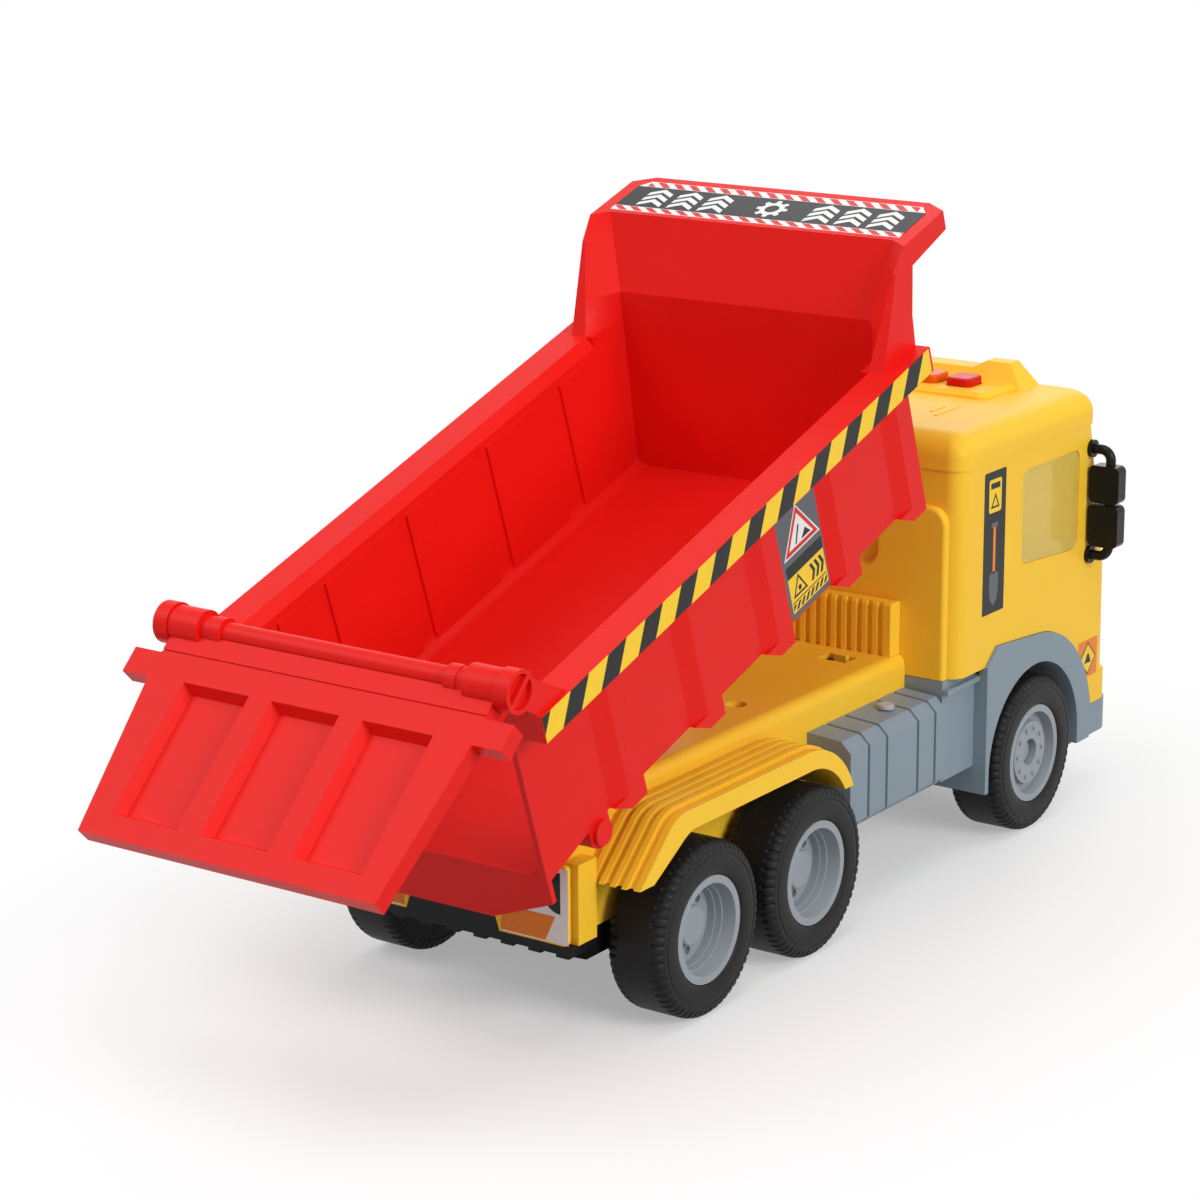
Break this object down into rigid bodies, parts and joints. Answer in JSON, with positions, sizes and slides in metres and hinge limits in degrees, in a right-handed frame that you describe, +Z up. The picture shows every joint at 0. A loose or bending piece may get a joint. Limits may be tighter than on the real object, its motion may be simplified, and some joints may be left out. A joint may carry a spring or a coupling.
{
  "type": "toy dump truck",
  "caption": "Toy dump truck with a tipping bucket held by friction, a swinging tailgate, rolling wheels on through axles and push buttons on the cab roof",
  "frame": {"origin": "on the ground at the middle of the truck, below the middle axle", "axes": "+X the way the truck drives, +Y its left side, +Z up"},
  "size_m": [0.457, 0.151, 0.2486],
  "materials": {
    "yellow_plastic": "satin",
    "red_plastic": "satin",
    "grey_plastic": "satin",
    "black_plastic": "satin",
    "tyre_black": "matte",
    "rim_grey": "satin",
    "steel": "satin",
    "battery_sleeve": "satin",
    "speaker_black": "matte",
    "silver_plastic": "satin",
    "clear_plastic": "clear",
    "board_green": "satin",
    "button_red": "gloss",
    "button_orange": "gloss",
    "button_yellow": "gloss"
  },
  "bodies": {
    "chassis": {"chassis_deck": "yellow_plastic", "rear_panel": "yellow_plastic", "under_plate": "black_plastic", "chassis_screws": "steel", "battery_door": "black_plastic", "battery_case": "black_plastic", "battery_1": "battery_sleeve", "battery_2": "battery_sleeve", "battery_3": "battery_sleeve", "speaker": "speaker_black", "side_tank_left": "grey_plastic", "side_tank_right": "grey_plastic", "tank_cap_left": "silver_plastic", "tank_cap_right": "silver_plastic", "cab_skirt": "grey_plastic", "cab_body": "yellow_plastic", "side_window_left": "clear_plastic", "side_window_right": "clear_plastic", "windscreen": "clear_plastic", "grille": "black_plastic", "headlamp_left": "clear_plastic", "headlamp_right": "clear_plastic", "mirror_left": "black_plastic", "mirror_right": "black_plastic", "cab_roof": "yellow_plastic", "circuit_board": "board_green"},
    "bucket": {"bucket_tub": "red_plastic", "pivot_pin_left": "red_plastic", "pivot_pin_right": "red_plastic", "hinge_pin_left": "red_plastic", "hinge_pin_right": "red_plastic"},
    "tailgate": {"tailgate": "red_plastic"},
    "rear_wheels": {"axle_rear": "steel", "tyre_rear_left": "tyre_black", "tyre_rear_right": "tyre_black", "rim_rear_left": "rim_grey", "rim_rear_right": "rim_grey", "hub_cap_rear_left": "rim_grey", "hub_cap_rear_right": "rim_grey"},
    "middle_wheels": {"axle_middle": "steel", "tyre_middle_left": "tyre_black", "tyre_middle_right": "tyre_black", "rim_middle_left": "rim_grey", "rim_middle_right": "rim_grey", "hub_cap_middle_left": "rim_grey", "hub_cap_middle_right": "rim_grey"},
    "front_wheels": {"axle_front": "steel", "tyre_front_left": "tyre_black", "tyre_front_right": "tyre_black", "rim_front_left": "rim_grey", "rim_front_right": "rim_grey", "hub_cap_front_left": "rim_grey", "hub_cap_front_right": "rim_grey"},
    "button_1_push": {"button_1": "button_red"},
    "button_2_push": {"button_2": "button_orange"},
    "button_3_push": {"button_3": "button_yellow"},
    "button_4_push": {"button_4": "button_red"}
  },
  "joints": [
    {"name": "bucket_tip", "type": "hinge", "parent": "chassis", "child": "bucket", "pos_m": [-0.11615, 0, 0.0767], "axis": [0, 1, 0], "range_deg": [-26.75, 18.25]},
    {"name": "tailgate_swing", "type": "hinge", "parent": "bucket", "child": "tailgate", "pos_m": [-0.17224, 0, 0.13823], "axis": [0, 1, 0], "range_deg": [-63.9, 40]},
    {"name": "rear_wheels_roll", "type": "hinge", "parent": "chassis", "child": "rear_wheels", "pos_m": [-0.066, 0, 0.03], "axis": [0, 1, 0], "continuous": true},
    {"name": "middle_wheels_roll", "type": "hinge", "parent": "chassis", "child": "middle_wheels", "pos_m": [0, 0, 0.03], "axis": [0, 1, 0], "continuous": true},
    {"name": "front_wheels_roll", "type": "hinge", "parent": "chassis", "child": "front_wheels", "pos_m": [0.1605, 0, 0.03], "axis": [0, 1, 0], "continuous": true},
    {"name": "button_1_press", "type": "slide", "parent": "chassis", "child": "button_1_push", "axis": [0, 0, -1], "range_m": [0, 0.0015], "stiffness_N_per_m": 500},
    {"name": "button_2_press", "type": "slide", "parent": "chassis", "child": "button_2_push", "axis": [0, 0, -1], "range_m": [0, 0.0015], "stiffness_N_per_m": 500},
    {"name": "button_3_press", "type": "slide", "parent": "chassis", "child": "button_3_push", "axis": [0, 0, -1], "range_m": [0, 0.0015], "stiffness_N_per_m": 500},
    {"name": "button_4_press", "type": "slide", "parent": "chassis", "child": "button_4_push", "axis": [0, 0, -1], "range_m": [0, 0.0015], "stiffness_N_per_m": 500}
  ]
}
